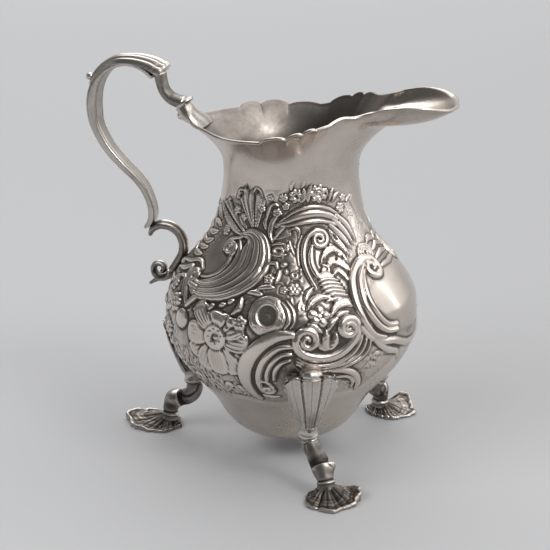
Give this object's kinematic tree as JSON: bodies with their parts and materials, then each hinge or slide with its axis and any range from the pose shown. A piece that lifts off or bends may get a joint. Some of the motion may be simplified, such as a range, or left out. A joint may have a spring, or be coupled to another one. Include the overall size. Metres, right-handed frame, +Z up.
{
  "type": "cream jug",
  "caption": "Small pear-shaped silver cream jug with chased scrolls and flowers, shaped rim, pouring lip, leaf-capped scroll handle and shell-topped legs.",
  "frame": {"origin": "the body's own axis where it meets the table, centred under the body between the three feet", "axes": "+X from the body axis to the tip of the lip, the handle on -X; +Z up from the table along the body's axis; +Y completes the right-handed frame, the side away from the pictured face"},
  "size_m": [0.1013, 0.0827, 0.1063],
  "materials": {
    "raised_silver": "polished sterling silver sheet, dark tarnish left in the chased ground",
    "cast_silver": "polished cast silver with light scratches and tarnish in the grooves",
    "cast_foot_silver": "cast silver, heavily tarnished and rubbed bright on its edges"
  },
  "bodies": {
    "root": {"body": "raised_silver", "handle_rim_socket": "cast_silver", "handle_socket_bead": "cast_silver", "handle_collar": "cast_silver", "handle_neck": "cast_silver", "handle_leaf_cap": "cast_silver", "handle_thumb_bead": "cast_silver", "handle_shank": "cast_foot_silver", "handle_lower_scroll": "cast_silver", "handle_volute": "cast_silver", "near_knee_shell": "cast_silver", "near_knee_boss": "cast_silver", "near_shank": "cast_foot_silver", "near_foot": "cast_foot_silver", "far_knee_shell": "cast_silver", "far_knee_boss": "cast_silver", "far_shank": "cast_foot_silver", "far_foot": "cast_foot_silver", "back_knee_shell": "cast_silver", "back_knee_boss": "cast_silver", "back_shank": "cast_foot_silver", "back_foot": "cast_foot_silver"}
  },
  "joints": []
}
